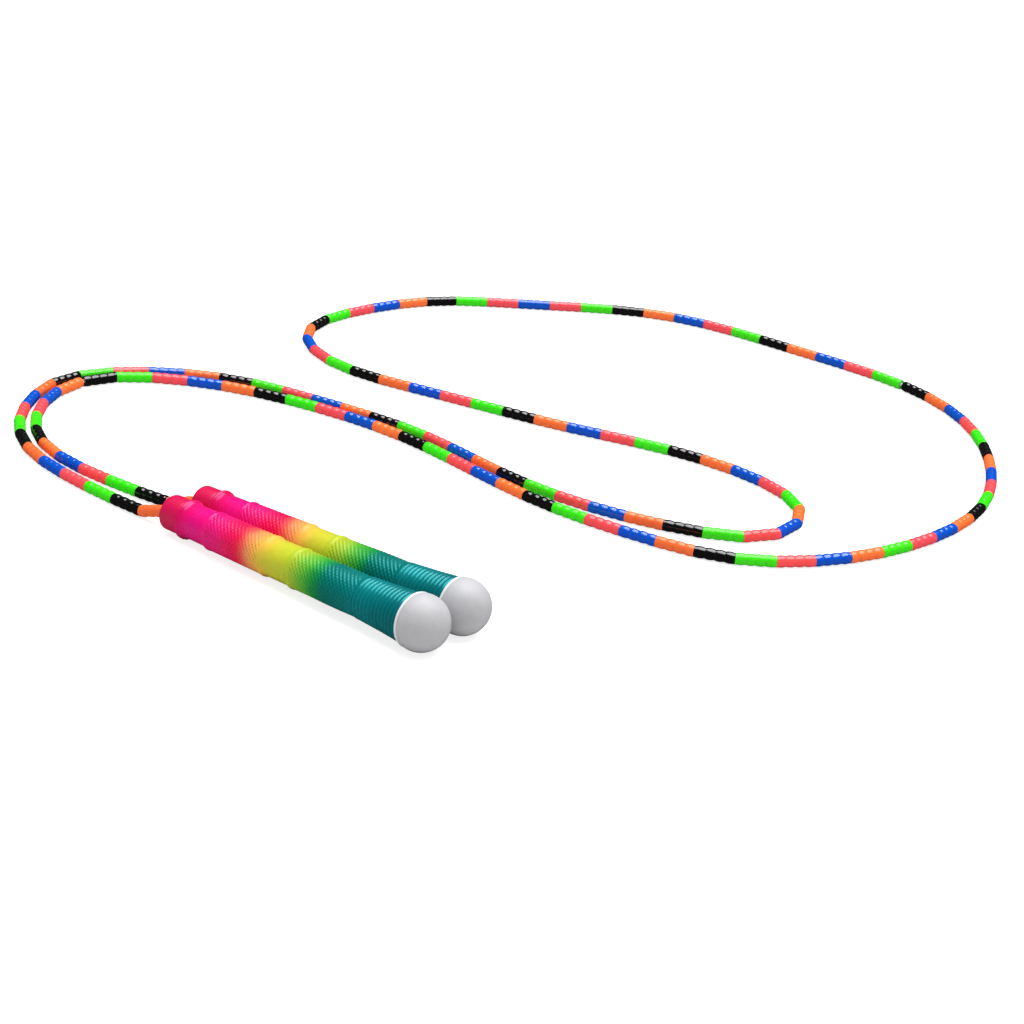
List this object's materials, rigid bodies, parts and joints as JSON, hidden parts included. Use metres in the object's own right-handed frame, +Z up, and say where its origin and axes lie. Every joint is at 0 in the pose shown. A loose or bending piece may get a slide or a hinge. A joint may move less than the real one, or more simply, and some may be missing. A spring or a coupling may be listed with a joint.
{
  "type": "jump rope",
  "caption": "Beaded jump rope lying in loose loops: a cord strung with coloured tubular beads between two long turned handles with ball ends.",
  "frame": {"origin": "on the floor, under the middle of the two handles", "axes": "+X along the two handles from their mouths to their ball ends, +Y from handle a to handle b and on towards the loops of rope, +Z up"},
  "size_m": [0.5506, 0.6383, 0.0329],
  "materials": {
    "bead_orange": "glossy moulded plastic tube bead, orange",
    "bead_black": "glossy moulded plastic tube bead, black",
    "bead_green": "glossy moulded plastic tube bead, bright green",
    "bead_coral": "glossy moulded plastic tube bead, coral pink",
    "bead_blue": "glossy moulded plastic tube bead, blue",
    "cord": "braided white nylon cord",
    "grip": "satin soft plastic with knurled and ribbed bands, dyed in a run of colour from magenta to teal",
    "collar": "satin moulded plastic, crimson pink",
    "ball_cap": "satin white moulded plastic",
    "washer": "plain stamped steel"
  },
  "bodies": {
    "rope": {"cord": "cord", "stopper_knot_a": "cord", "stopper_knot_b": "cord", "beads_001_to_005": "bead_orange", "beads_006_to_011": "bead_black", "beads_012_to_017": "bead_green", "beads_018_to_023": "bead_coral", "beads_024_to_029": "bead_blue", "beads_030_to_035": "bead_orange", "beads_036_to_040": "bead_black", "beads_041_to_046": "bead_green", "beads_047_to_052": "bead_coral", "beads_053_to_058": "bead_blue", "beads_059_to_064": "bead_orange", "beads_065_to_070": "bead_black", "beads_071_to_076": "bead_green", "beads_077_to_081": "bead_coral", "beads_082_to_087": "bead_blue", "beads_088_to_093": "bead_orange", "beads_094_to_098": "bead_black", "beads_099_to_104": "bead_green", "beads_105_to_110": "bead_coral", "beads_111_to_116": "bead_blue", "beads_117_to_121": "bead_orange", "beads_122_to_127": "bead_black"},
    "handle_a": {"grip_a": "grip", "collar_a": "collar", "ball_cap_a": "ball_cap", "washer_a": "washer"},
    "handle_b": {"grip_b": "grip", "collar_b": "collar", "ball_cap_b": "ball_cap", "washer_b": "washer"}
  },
  "joints": [
    {"name": "handle_a_spin", "type": "hinge", "parent": "rope", "child": "handle_a", "pos_m": [-0.1113, -0.01214, 0.01189], "axis": [0.9995, -0.0226, 0.0223], "continuous": true},
    {"name": "handle_b_spin", "type": "hinge", "parent": "rope", "child": "handle_b", "pos_m": [-0.1113, 0.01214, 0.01189], "axis": [0.9995, 0.0226, 0.0223], "continuous": true}
  ]
}
